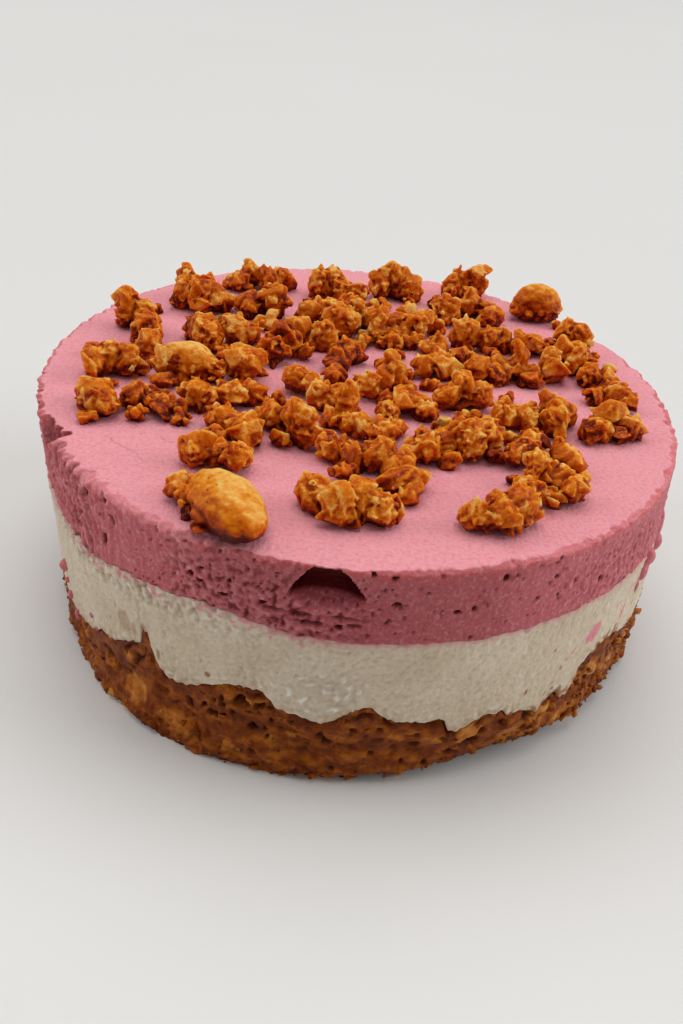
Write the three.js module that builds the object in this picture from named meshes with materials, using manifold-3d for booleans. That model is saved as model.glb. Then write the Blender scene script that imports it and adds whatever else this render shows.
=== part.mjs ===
// A small round vegan strawberry cheesecake, set in a dessert ring and turned out whole.
// Units are millimetres, +Z is up, and the cake stands on z = 0 with its axis on the Z axis.
// From the bottom up: a pressed nut and date base, a plain cream layer, a strawberry cream layer,
// and clusters of candied chopped peanuts lying on the top. Angles are in degrees about +Z from +X,
// so the front of the cake is at -90.

import * as THREE from "three";
import { mergeVertices } from "three/addons/utils/BufferGeometryUtils.js";
import Module from "manifold-3d";

const wasm = await Module();
wasm.setup();

// Driving dimensions
const RING_RADIUS = 50.2;
const CAKE_HEIGHT = 38;
const SEAM_HEIGHT = 26.6; // mean height of the seam between the two creams
const BASE_HEIGHT = 11.2; // mean height of the base where it shows at the wall
const BASE_INSIDE = 12; // height of the base away from the wall
const LEVEL_SHARE = 0.76; // share of the radius inside which the seams are level
const SEAM_RINGS = [LEVEL_SHARE, 0.91]; // rings that shape the seams, as shares of the radius
const GAP = 0.3; // clearance between pieces that touch
const AROUND = 90; // facets round the cake
const LEAN = 1.7; // how far the foot of the cake stands to the right of its top, as turned out
const RIM_ROUND = 0.25; // rounding of the top edge
const FOOT_RISE = 0.5; // height of the base's lower edge where it isn't broken
const FOOT_ROW = 0.1; // share of the base's height at which its profile has that edge
const FOOT_CHAMFER = 0.7; // how far that edge is cut back at the table
const BREAK_DEPTH = 1.8; // how far a break of 1 cuts the foot back
const BREAK_RISE = 1.25; // how far it lifts the lower edge
const WORN = 0.45; // how far it wears back the wall above it
const SPREAD_TO = 0.55; // share of the base's height up to which a spread foot reaches
const CRAG = 1.3; // spread of the base's craggy wall
const WALL_WAVE = 0.25; // depth of the waves in the cream walls
const CUT_DEPTH = 6; // how far each cream starts below its seam before it is cut
const WIDEST_AT = 0.36; // where a nut lump is widest, as a share of its height
const LUMP_DENTS = 0.3; // how uneven the lumps are, as a share of their size
const SMOOTH_FROM = 8; // single pieces of nut from this length up are rounded
const SMOOTH_DENTS = 0.06; // how uneven those are
const CLEARANCE = 1.3 * GAP; // clearance between clusters
const CRAG_SEED = 11;
const CRUMB_SEED = 5;
const FIRST_CLUSTER_SEED = 100;

// What the layers do round the wall: [angle, rise or depth, half-width]
const BASE_MOUNDS = [
  [-149, -4.4, 7.5], [-140, -2.0, 4], [-124.5, 3.2, 3.8], [-104.5, 4.3, 6.3], [-94.5, 0.3, 3],
  [-85.5, 3.8, 3.6], [-78.5, 1.1, 5.5], [-70.5, -1.9, 1.8], [-64.5, 1.0, 3], [-58, -1.0, 3],
  [-55.3, -1.6, 1.5], [-52, 0.8, 2], [-49.5, -2.9, 2], [-45.5, 1.8, 2.5], [-40, 5.0, 7],
  [-26, 2.4, 9], [-12, 1.0, 6], [0, -1.6, 7], [16, 2.4, 8], [35, -1.4, 7], [52, 2.8, 6],
  [70, 0.6, 6], [86, -2.0, 8], [104, 3.2, 7], [122, -0.8, 6], [140, 2.2, 7], [160, -1.4, 8],
  [178, 1.8, 7], [-165, 1.2, 6],
];
const SEAM_WAVES = [
  [-137, -1.7, 8], [-109, 1.5, 9], [-71, -0.1, 8], [-50, 0.4, 8], [-20, -0.8, 9],
  [12, 0.9, 10], [48, -0.7, 9], [88, 1.0, 12], [130, -0.9, 10], [170, 0.8, 9],
];
const FOOT_BREAKS = [
  [-60, 2.3, 20], [-32, 1.7, 12], [8, 0.8, 9], [34, 1.5, 12], [95, 1.0, 12], [150, 1.3, 14],
];
const FOOT_SPREADS = [[-134, 1.6, 14], [-119, 1.7, 7], [-105, 1.4, 8], [-96, 1.3, 2.5]];

// Hollows in the strawberry cream and drips of it on the wall:
// [angle, radius, height, half-width along the wall, half-depth, half-height]
const AIR_POCKET = [-92, 49.2, 34.4, 4.5, 3.6, 3.0];
const RIM_CHIPS = [
  [-151.5, 49.6, 36.6, 2.4, 1.6, 4.0],
  [-148, 48.2, 38.2, 2.0, 1.8, 2.2],
];
const DRIPS = [
  [-17, 50.2, 25.4, 2.2, 1.2, 4.6],
  [-27, 50.1, 24.2, 2.2, 1.3, 3.8],
];

// Peanut clusters as they lie, each a list of heaps that are stuck together:
// [x, y, length, width, height, turn of the length from +X, lumps]. One lump is one whole piece.
const CLUSTERS = [
  [
    [-15, -42.5, 15.5, 9, 5.5, -55, 1],
    [-21.5, -39.5, 6.5, 4, 3, -60, 2],
    [-18, -45, 3.5, 3, 3, -60, 1],
  ],
  [[-18.5, -29.5, 10, 6.5, 4.5, 0, 3]],
  [[-17, -21.5, 11.5, 6.5, 4.5, -40, 3]],
  [[-30.5, -16, 9, 6.5, 3.5, -20, 3]],
  [[-38, -18, 8.5, 5.5, 4.5, -50, 1]],
  [[-24, -13.5, 6.5, 6, 4, 80, 2]],
  [[-17.5, -12, 8.5, 5, 4, 0, 2]],
  [
    [-27.5, -5.5, 10.5, 7, 6, 5, 1],
    [-28.5, -8.5, 6.5, 3, 2.5, 10, 2],
    [-23, -6, 4, 4, 4.5, 60, 1],
  ],
  [[-19, -3, 7.5, 7.5, 5.5, 60, 2]],
  [[-39, -6, 9, 7, 5.5, 20, 3]],
  [[-38.5, 11.5, 8, 6, 6.5, -20, 3], [-35.5, 4.5, 9.5, 5.5, 5, -65, 3]],
  [
    [-31.5, 22, 8, 6.5, 6, -25, 3],
    [-32, 27, 8, 7.5, 6.5, 30, 3],
    [-27, 22, 5.5, 4.5, 4, 20, 1],
  ],
  [[-24, 34, 7.5, 5.5, 5, 15, 2], [-18.5, 35, 8, 5, 5, 5, 2]],
  [[-19, 22, 9, 7, 6, 0, 3], [-18.5, 27.5, 7.5, 5, 4.5, 80, 2]],
  [[-27, 7.5, 9.5, 5.5, 5, -50, 1]],
  [[-20.5, 9, 6.5, 5.5, 5.5, -20, 2]],
  [[-14.5, 5.5, 8, 6.5, 5.5, 60, 3]],
  [[-9, 12, 7.5, 6, 5, -20, 3]],
  [[-7.5, 33.5, 8.5, 7, 6.5, 0, 3], [-2.5, 31.5, 5, 4, 4.5, 30, 1]],
  [[-4.5, 18.5, 9.5, 8, 7, 65, 3], [-9, 22, 8.5, 5, 4.5, 10, 2]],
  [[-3.5, 5, 8.5, 6.5, 4, 40, 2]],
  [[-9, -6.5, 7, 5, 4.5, -40, 2]],
  [[-3.5, -11.5, 8.5, 5.5, 6.5, -20, 3]],
  [[-9.5, -19.5, 11.5, 5.5, 6.5, -40, 3]],
  [[-3.5, -25, 5, 5, 3.5, 70, 2]],
  [[0, -18, 6.5, 4, 3.5, -60, 2]],
  [[1.5, -39, 11, 7, 6, 10, 3], [-4.5, -37, 5, 3, 4.5, -45, 1]],
  [[5.5, -28.5, 11, 7.5, 4.5, -55, 3], [0.5, -26.5, 5.5, 5, 3, 60, 1]],
  [[4.5, -18.5, 8, 5.5, 4, 40, 2]],
  [[9, -9.5, 7, 5, 4, -30, 3], [4.5, -12, 4.5, 3.5, 2.5, 30, 1]],
  [[1, -4.5, 6, 4.5, 4.5, 80, 2]],
  [[5, -0.5, 7.5, 6.5, 5.5, 60, 2]],
  [[16, -5.5, 10, 6.5, 6, 10, 3]],
  [[12, 4.5, 8, 5.5, 4, 0, 3]],
  [[12, 13.5, 6.5, 4.5, 2.5, 20, 2]],
  [[5.5, 18, 10.5, 7.5, 6, 0, 4]],
  [[4.5, 37, 9.5, 7, 7, 0, 3]],
  [[18, 41.5, 9, 5.5, 7, 20, 3]],
  [[21, 30.5, 9, 6.5, 5, -30, 3], [15, 28, 8, 5, 5.5, 50, 2]],
  [[17.5, 16.5, 6.5, 6, 6, -10, 1], [22.5, 17, 8, 5, 5, 5, 2]],
  [[28.5, 17, 7, 5, 4.5, 0, 2]],
  [[23.5, 6.5, 8, 7, 5, 30, 3], [19, 4.5, 5, 4, 3.5, 20, 1]],
  [[31.5, 8, 6, 5.5, 5, 75, 2]],
  [
    [36, 13, 8, 6.5, 5.5, -60, 3],
    [37, 20.5, 7, 5.5, 5.5, -50, 2],
    [36.5, 16.5, 5, 4.5, 4, 80, 1],
  ],
  [[40, 5.5, 7.5, 5, 3.5, -40, 3]],
  [[42.5, 0, 5.5, 3.5, 3.5, -70, 2]],
  [[40.5, -8, 8, 5.5, 4, -20, 3]],
  [[35.5, -12, 4.5, 4.5, 3.5, 80, 1]],
  [[30, -9.5, 8, 6.5, 6, 60, 3]],
  [[24.5, -10, 8, 5.5, 4, -10, 2]],
  [[14.5, -20.5, 14.5, 8, 6, 15, 4], [9, -23, 4.5, 3.5, 2.5, 15, 1]],
  [[24.5, -19.5, 12, 5.5, 4, 50, 2]],
  [[30.5, -21, 8, 3.5, 3.5, -60, 1]],
  [[28.5, -28, 9, 7, 5.5, -30, 3]],
  [
    [21, -37.5, 8.5, 7, 6, 15, 2],
    [16.5, -38.5, 5.5, 5, 4, 0, 1],
    [23, -33, 5, 4, 5, 0, 1],
  ],
  [[31.5, 34, 10, 8, 6.5, 10, 1]],
  [[5.5, 14, 8.5, 4.5, 2.5, 0, 2]],
];
const CRUMBS = [
  [-25.5, -20.5, 4, 3, 2.5, 70, 1], [23.5, -4, 3, 2.5, 2, 0, 1],
];

const FINISHES = {
  base: new THREE.MeshStandardMaterial({ color: 0x7a4a24, roughness: 0.7, metalness: 0 }),
  cream: new THREE.MeshStandardMaterial({ color: 0xc9bba4, roughness: 0.6, metalness: 0 }),
  strawberry: new THREE.MeshStandardMaterial({ color: 0xdc8290, roughness: 0.65, metalness: 0 }),
  nut: new THREE.MeshStandardMaterial({ color: 0xb8701f, roughness: 0.4, metalness: 0 }),
};

const { degToRad, lerp, smoothstep } = THREE.MathUtils;

// A repeatable random source for the shapes of the nuts and the crags of the base.
function seeded(seed) {
  let state = seed >>> 0;
  return () => {
    state = (state + 0x6d2b79f5) >>> 0;
    let mixed = Math.imul(state ^ (state >>> 15), state | 1);
    mixed ^= mixed + Math.imul(mixed ^ (mixed >>> 7), mixed | 61);
    return ((mixed ^ (mixed >>> 14)) >>> 0) / 4294967296;
  };
}

// The sum of smooth bumps at an angle.
function bumps(list, angle) {
  let sum = 0;
  for (const [at, rise, halfWidth] of list) {
    const away = ((angle - at + 540) % 360) - 180;
    sum += rise * Math.exp(-((away / halfWidth) ** 2));
  }
  return sum;
}

// How far the cake's axis stands to the right at a height.
function leanAt(height) {
  return LEAN * (1 - height / CAKE_HEIGHT);
}

// The two seams: wavy at the wall, level inside. Share is the share of the cake's radius.
function baseTop(angle, share) {
  const atWall = BASE_HEIGHT + bumps(BASE_MOUNDS, angle);
  return lerp(BASE_INSIDE, atWall, smoothstep(share, LEVEL_SHARE, 1));
}

function seamTop(angle, share) {
  return SEAM_HEIGHT + bumps(SEAM_WAVES, angle) * smoothstep(share, LEVEL_SHARE, 1);
}

// A drum turned from a profile of [radius share, height share] points, then shaped:
// place(angle, radius share, height share) gives the radius and the height of each point.
function drum(profile, place) {
  const points = profile.map(([share, height]) => new THREE.Vector2(share, height));
  const geometry = new THREE.LatheGeometry(points, AROUND).rotateX(Math.PI / 2);
  const position = geometry.attributes.position;
  for (let i = 0; i < position.count; i++) {
    const x = position.getX(i);
    const y = position.getY(i);
    const facet = Math.round((Math.atan2(y, x) / (2 * Math.PI)) * AROUND + AROUND) % AROUND;
    const angle = (facet * 360) / AROUND;
    const [radius, height] = place(angle, Math.hypot(x, y), position.getZ(i));
    const across = radius * Math.cos(degToRad(angle)) + leanAt(height);
    position.setXYZ(i, across, radius * Math.sin(degToRad(angle)), height);
  }
  return geometry;
}

// A drum's profile from the axis out along the underside, up the wall and back along the top.
function drumProfile(wallRows, topRings) {
  const wall = wallRows.map((height) => [1, height]);
  const top = topRings.toReversed().map((share) => [share, 1]);
  return [[0, 0], [1, 0], ...wall, [1, 1], ...top, [0, 1]];
}

// The nut and date base: craggy on the wall, and broken back or spread outward at the foot.
function nutBase() {
  const random = seeded(CRAG_SEED);
  const crags = new Map();
  const cragAt = (angle, height) => {
    const key = `${angle.toFixed(2)} ${height.toFixed(2)}`;
    if (!crags.has(key)) crags.set(key, CRAG * (random() - 0.5));
    return crags.get(key);
  };
  const profile = drumProfile([FOOT_ROW, 0.3, 0.55, 0.8], SEAM_RINGS);
  return drum(profile, (angle, share, height) => {
    const top = baseTop(angle, share);
    if (share < 0.999) return [share * RING_RADIUS, height * top];
    const broken = bumps(FOOT_BREAKS, angle);
    const spread = bumps(FOOT_SPREADS, angle) * Math.max(0, 1 - height / SPREAD_TO);
    if (height < 0.001) return [RING_RADIUS - FOOT_CHAMFER - BREAK_DEPTH * broken + spread, 0];
    const edge = FOOT_RISE + BREAK_RISE * broken;
    const crag = height > 0.999 ? 0 : cragAt(angle, height);
    const worn = WORN * broken * (1 - height);
    const radius = RING_RADIUS + crag - worn + spread;
    return [radius, lerp(edge, top, (height - FOOT_ROW) / (1 - FOOT_ROW))];
  });
}

// The space under a seam, out past the wall, with its top lifted by the clearance.
function spaceUnder(seam) {
  const beyond = 1.1;
  const top = [beyond, 1, ...SEAM_RINGS.toReversed(), 0].map((share) => [share, 1]);
  return drum([[0, 0], [beyond, 0], ...top], (angle, share, height) => {
    const z = height * (seam(angle, share) + GAP);
    return [share * RING_RADIUS, z];
  });
}

// The plain cream, or the space that it takes when it is let out by a clearance. It reaches down
// into the base, which is then cut away.
function creamLayer(clearance) {
  const profile = drumProfile([0.6], SEAM_RINGS);
  return drum(profile, (angle, share, height) => {
    const z = lerp(BASE_HEIGHT - CUT_DEPTH, seamTop(angle, share) + clearance, height);
    if (share < 0.999) return [share * RING_RADIUS, z];
    return [RING_RADIUS + clearance - WALL_WAVE * Math.sin(Math.PI * height), z];
  });
}

// The strawberry cream, which reaches down into the plain cream, and is cut in the same way.
function strawberryLayer() {
  const profile = drumProfile([0.5, 0.75, 0.96], [0.96]);
  return drum(profile, (angle, share, height) => {
    const z = lerp(SEAM_HEIGHT - CUT_DEPTH, CAKE_HEIGHT, height);
    if (share < 0.999) return [share * RING_RADIUS, z];
    const wave = WALL_WAVE * Math.sin(degToRad(angle) * 7 + 9 * height) * (1 - height);
    const round = height > 0.999 ? RIM_ROUND : 0;
    return [RING_RADIUS + wave - round, z];
  });
}

// A closed geometry as a solid that can be joined and cut.
function solid(geometry) {
  const bare = geometry.clone();
  bare.deleteAttribute("normal");
  bare.deleteAttribute("uv");
  const merged = mergeVertices(bare, 1e-4);
  return new wasm.Manifold(
    new wasm.Mesh({
      numProp: 3,
      vertProperties: new Float32Array(merged.attributes.position.array),
      triVerts: new Uint32Array(merged.index.array),
    }),
  );
}

function geometryOf(manifold) {
  const mesh = manifold.getMesh();
  const geometry = new THREE.BufferGeometry();
  geometry.setAttribute("position", new THREE.BufferAttribute(mesh.vertProperties, 3));
  geometry.setIndex(new THREE.BufferAttribute(mesh.triVerts, 1));
  return geometry;
}

function largestPiece(manifold) {
  const pieces = manifold.decompose();
  return pieces.sort((a, b) => b.volume() - a.volume())[0];
}

// An egg-shaped hollow or drip in or on the wall.
function egg([angle, radius, height, halfWidth, halfDepth, halfHeight]) {
  const turn = degToRad(angle);
  const geometry = new THREE.SphereGeometry(1, 12, 8)
    .rotateX(Math.PI / 2)
    .scale(halfDepth, halfWidth, halfHeight)
    .rotateZ(turn)
    .translate(radius * Math.cos(turn) + leanAt(height), radius * Math.sin(turn), height);
  return solid(geometry);
}

// One lump of nut: a ball, dented at random by up to a share, stretched to its half-sizes.
function lump(random, halves, centre, turn, detail, dents) {
  const ball = new THREE.IcosahedronGeometry(1, detail);
  ball.deleteAttribute("normal");
  ball.deleteAttribute("uv");
  const geometry = mergeVertices(ball, 1e-4)
    .rotateX(2 * Math.PI * random())
    .rotateY(2 * Math.PI * random());
  const position = geometry.attributes.position;
  const point = new THREE.Vector3();
  for (let i = 0; i < position.count; i++) {
    point.fromBufferAttribute(position, i).multiplyScalar(1 + dents * (random() - 0.5));
    position.setXYZ(i, ...point.toArray());
  }
  geometry.scale(...halves).rotateZ(turn).translate(...centre);
  return solid(geometry);
}

// A heap of nut lumps along its length, reaching below the face that it lies on.
// Grow lets it out by a clearance.
function nutHeap([x, y, long, wide, high, turnDegrees, count], random, grow) {
  const turn = degToRad(turnDegrees);
  const tallest = Math.floor(random() * count);
  const halfLong = count === 1 ? long / 2 : (0.7 * long) / count;
  const halfWide = count === 1 ? wide / 2 : 0.42 * wide;
  const lumps = [];
  for (let i = 0; i < count; i++) {
    const share = count === 1 ? 0 : i / (count - 1) - 0.5;
    const along = share * (long - 2 * halfLong);
    const across = count === 1 ? 0 : (i % 2 ? 0.1 : -0.1) * wide;
    const top = high * (i === tallest ? 1 : 0.62 + 0.3 * random());
    const halves = [halfLong + grow, halfWide + grow, (1 - WIDEST_AT) * top + grow];
    const centre = [
      x + along * Math.cos(turn) - across * Math.sin(turn),
      y + along * Math.sin(turn) + across * Math.cos(turn),
      CAKE_HEIGHT + GAP + WIDEST_AT * top,
    ];
    const smooth = count === 1 && long >= SMOOTH_FROM;
    const dents = smooth ? SMOOTH_DENTS : LUMP_DENTS;
    lumps.push(lump(random, halves, centre, turn, smooth ? 1 : 0, dents));
  }
  return lumps;
}

function cluster(heaps, seed, grow) {
  const random = seeded(seed);
  return wasm.Manifold.union(heaps.flatMap((heap) => nutHeap(heap, random, grow)));
}

const cake = new THREE.Group();

function addPiece(name, geometry, finish) {
  const mesh = new THREE.Mesh(geometry, finish);
  mesh.name = name;
  cake.add(mesh);
}

// The three layers. The drips hang outside the plain cream, clear of it.
addPiece("nut_base", nutBase(), FINISHES.base);

const cream = solid(creamLayer(0)).subtract(solid(spaceUnder(baseTop)));
addPiece("cream_layer", geometryOf(largestPiece(cream)), FINISHES.cream);

const drips = wasm.Manifold.union(DRIPS.map(egg)).subtract(solid(creamLayer(GAP)));
const crumbs = cluster(CRUMBS, CRUMB_SEED, 0);
const hollows = wasm.Manifold.union([AIR_POCKET, ...RIM_CHIPS].map(egg));
const strawberry = solid(strawberryLayer())
  .subtract(solid(spaceUnder(seamTop)))
  .add(drips)
  .add(crumbs)
  .subtract(hollows);
addPiece("strawberry_layer", geometryOf(largestPiece(strawberry)), FINISHES.strawberry);

// The candied peanuts: each cluster has a flat foot, and is cut clear of those laid before it.
const under = new THREE.BoxGeometry(3 * RING_RADIUS, 3 * RING_RADIUS, CAKE_HEIGHT + GAP);
let taken = solid(under.translate(0, 0, (CAKE_HEIGHT + GAP) / 2));
taken = taken.add(cluster(CRUMBS, CRUMB_SEED, CLEARANCE));
CLUSTERS.forEach((heaps, i) => {
  const seed = FIRST_CLUSTER_SEED + i;
  const clear = largestPiece(cluster(heaps, seed, 0).subtract(taken));
  taken = taken.add(cluster(heaps, seed, CLEARANCE));
  addPiece(`peanut_cluster_${String(i + 1).padStart(2, "0")}`, geometryOf(clear), FINISHES.nut);
});

export default cake;
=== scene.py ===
"""The looks of a small round strawberry cheesecake with candied peanuts on its top.

Each layer is spun from a fine profile between the edges of its solid and then roughened, and each
peanut cluster is rebuilt from broken pieces of nut over its own solid. Lengths are millimetres until
a mesh is finished, and angles are degrees round the cake from +X, so the front is at -90.
"""

import math
import random
from functools import partial

import bmesh
import bpy
import numpy as np
from mathutils import Matrix, Vector, noise
from mathutils.bvhtree import BVHTree
from mathutils.kdtree import KDTree


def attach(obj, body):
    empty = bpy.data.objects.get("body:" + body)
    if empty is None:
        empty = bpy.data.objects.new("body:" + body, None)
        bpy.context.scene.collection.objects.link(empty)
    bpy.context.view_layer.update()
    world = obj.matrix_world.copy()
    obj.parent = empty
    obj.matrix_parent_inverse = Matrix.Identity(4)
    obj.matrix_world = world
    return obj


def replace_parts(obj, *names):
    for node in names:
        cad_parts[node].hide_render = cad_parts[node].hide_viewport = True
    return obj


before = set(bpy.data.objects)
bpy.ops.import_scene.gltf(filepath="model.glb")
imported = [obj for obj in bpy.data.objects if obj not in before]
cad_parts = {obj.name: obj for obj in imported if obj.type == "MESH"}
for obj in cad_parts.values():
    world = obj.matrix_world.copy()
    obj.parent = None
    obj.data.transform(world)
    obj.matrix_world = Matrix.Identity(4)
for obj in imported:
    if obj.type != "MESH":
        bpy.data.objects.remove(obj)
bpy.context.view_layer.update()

MM = 0.001
RADIUS = 50.2
CAKE_TOP = 38.0
LEAN = 1.7  # how far the foot stands to the right of the top
FACETS = 90  # facets round the solids

# Each layer's grid of points: [count round the cake, rows up the wall]
STRAWBERRY_GRID, CREAM_GRID, BASE_GRID = (1152, 44), (1056, 46), (1152, 44)

# Where the base meets the cream in front: [angle, height]
BASE_EDGE = [
    (-153, 6.8), (-150, 6.4), (-143, 7.8), (-139, 8.4), (-135.2, 10.6), (-132, 10.8), (-128.8, 12.4),
    (-125, 14.4), (-123.9, 15.2), (-123.3, 19.2), (-122.6, 17.4), (-122, 18.3), (-121.4, 15), (-120.4, 12.6),
    (-118.5, 11.4), (-116, 11.3), (-113.6, 12), (-109.5, 13.8), (-105.5, 15.3), (-101.2, 15.2), (-99.9, 14.1),
    (-99.2, 12.8), (-97.7, 12.5), (-95.7, 12.4), (-94, 11.8), (-92, 11.4), (-90, 12.5), (-88.6, 13.5),
    (-87, 14.6), (-85.8, 15.1), (-84.4, 15), (-83.2, 13.8), (-81.6, 13.2), (-80, 12.6), (-77, 12.4),
    (-75, 12.1), (-73.8, 12.6), (-72.6, 12.4), (-72, 10.4), (-70.4, 9.7), (-69, 10.5), (-67, 11.4),
    (-65.5, 11.9), (-62.8, 12), (-61.5, 10.7), (-59, 10.6), (-57.2, 10.2), (-55.2, 8.8), (-54.3, 10.3),
    (-52.7, 11.4), (-51.4, 11.7), (-50, 9.9), (-48.6, 9.8), (-47.6, 11), (-46.9, 14), (-45.4, 15.4),
    (-43, 15.4), (-42, 16.2), (-39.4, 15.8), (-36.5, 15.7), (-33, 14.6),
]

# The hollow under the front rim: [angle, half-width, height of its corners, roof above, floor below, depth]
AIR_POCKET = (-91.9, 4.9, 33.2, 4.6, 2.8, 4.4)
# Bites out of the rim: [angle, radius, height, half-width, depth, half-height]
RIM_BITES = [
    (-152.5, 49.5, 36.2, 1.9, 1.1, 3.6), (-149.6, 48.9, 37.6, 1.3, 1, 1.7),
    (-147.6, 48.6, 38.3, 1.2, 1.5, 1.6),
]
# How lumpy the rim is round the cake: [angle, share]
RIM_LUMPS = [
    (-180, 0.5), (-150, 0.5), (-140, 1), (-110, 1), (-100, 0.25), (-84, 0.25), (-76, 0.45), (-60, 0.6),
    (180, 0.5),
]
# The larger pores of the pink wall: [angle, height, half-width, half-height]
WALL_PORES = [
    (-134, 36, 0.35, 1.1), (-129, 36.5, 0.3, 0.5), (-130, 30, 0.4, 1.2), (-127, 34, 0.35, 0.45),
    (-112.5, 32, 0.4, 0.4), (-111, 31.4, 0.4, 0.35), (-110.5, 33.5, 0.35, 0.3), (-107, 30.5, 0.7, 0.3),
    (-106, 33, 0.3, 0.3), (-101, 31, 0.5, 0.25), (-90, 29, 0.7, 0.3), (-85.5, 37.6, 0.4, 0.3),
    (-82.5, 37.2, 0.45, 0.35), (-82, 33, 0.55, 0.35), (-73, 31.5, 0.5, 0.35), (-70.5, 31.8, 0.3, 0.35),
    (-66, 36, 0.45, 0.5), (-57, 34.2, 0.4, 0.3), (-46.5, 30.5, 0.4, 0.4), (-56, 31, 0.3, 0.25),
    (-43, 33.5, 0.3, 0.35),
]
# Lumps of strawberry cream on the wall: [angle, height, half-width, half-height, half-depth]
DRIPS = [
    (-17, 25.6, 0.9, 3.2, 0.8), (-17.2, 22.8, 1.3, 1.7, 1.3), (-18.6, 21, 0.6, 1.4, 0.6),
    (-26.6, 25.2, 1.5, 1.6, 1.2), (-28, 23.2, 1.1, 1.8, 0.9), (-30.2, 21.2, 0.5, 1.8, 0.4),
    (-150.5, 13.6, 1, 1.1, 1.1), (-150, 11, 0.6, 0.6, 0.7), (-149, 8.8, 0.7, 0.8, 0.8),
    (-146.5, 6.4, 0.6, 1.2, 0.6), (-138.5, 11.4, 0.5, 0.5, 0.35), (-137, 9.6, 0.4, 0.4, 0.3),
    (-133.5, 4.6, 0.45, 0.5, 0.4),
]
# Large crumbs at the foot: [angle, height, size]
FOOT_CRUMBS = [
    (-146, 1, 1.3), (-142.5, 0.9, 1.7), (-139, 1.3, 1.5), (-136.5, 0.8, 1.2), (-134, 1, 1.8),
    (-131, 0.9, 1.6), (-127.5, 0.8, 1.4), (-124.5, 1.1, 1.5), (-121.5, 0.8, 1.4), (-104, 0.6, 1.3),
    (-101, 0.6, 1.5), (-98.2, 0.7, 1.9), (-96, 0.7, 2.1), (-94.6, 0.5, 1.3), (-87, 0.7, 1), (-79, 0.8, 1.1),
    (-66, 0.8, 1.2), (-52, 0.8, 1.3), (-44, 0.9, 1.5), (-41.5, 1.4, 1.3), (-38, 0.8, 1), (-31, 1, 1.4),
]
# Where pale nut shows in the base at the right: [angle, height]
NUTTY_PATCHES = [(-68, 8.5), (-60, 5.5), (-54, 8), (-47, 5), (-43, 11), (-36, 8.5), (-30, 10.5)]
# Pink smears on the plain cream: [angle, height, half-width, half-height, strength, slant]
SMEARS = [
    (-44.5, 19.8, 1.7, 1.7, 1, 0.35), (-49.5, 18.2, 0.3, 1, 1, 0.9), (-35, 19.4, 0.5, 1.9, 1, 0.3),
    (-37.5, 21.8, 0.3, 0.9, 1, 0.5), (-138, 20, 0.35, 0.7, 1, 0), (-33.5, 22.5, 0.3, 1.2, 1, 0.2),
]
# Brown traces of the base on the plain cream: [angle, height, half-width, half-height, strength]
CREAM_STAINS = [
    (-122.7, 17.2, 0.8, 2, 0.6), (-127.6, 16.9, 1.5, 2.3, 0.45), (-125.2, 16.6, 0.5, 1.5, 0.55),
    (-119.9, 14.8, 0.35, 1.3, 0.8), (-129.5, 18.9, 0.35, 0.5, 0.6), (-110.5, 15.3, 0.45, 0.45, 1),
    (-58.5, 14.3, 0.4, 0.6, 1), (-54, 20.5, 0.25, 0.4, 0.9), (-51.7, 16.3, 0.35, 0.5, 0.8),
    (-131.5, 15.5, 0.3, 0.6, 0.5),
]
# Whole or nearly whole kernels, left clear of broken pieces: {cluster: [x, y, length, width, height,
# turn, tone, how high the broken pieces reach up them]}
KERNELS = {
    1: (-15, -42.5, 15.5, 9, 5.5, -55, 0.93, 0),
    8: (-27.5, -5.5, 10.5, 7, 6, 5, 0.98, 4),
    53: (30.5, -21, 8, 3.5, 3.5, -60, 0.92, 1),
    56: (31.5, 34, 10, 8, 6.5, 10, 0.9, 2.6),
}
CLUSTERS = 57
CLUSTERS_A_PIECE = 8
CLUSTER_TONES = {
    21: 0.34, 52: 0.36, 17: 0.38, 14: 0.38, 25: 0.42, 48: 0.42, 35: 0.56, 43: 0.6, 9: 0.6, 4: 0.38, 28: 0.5,
}
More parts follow.
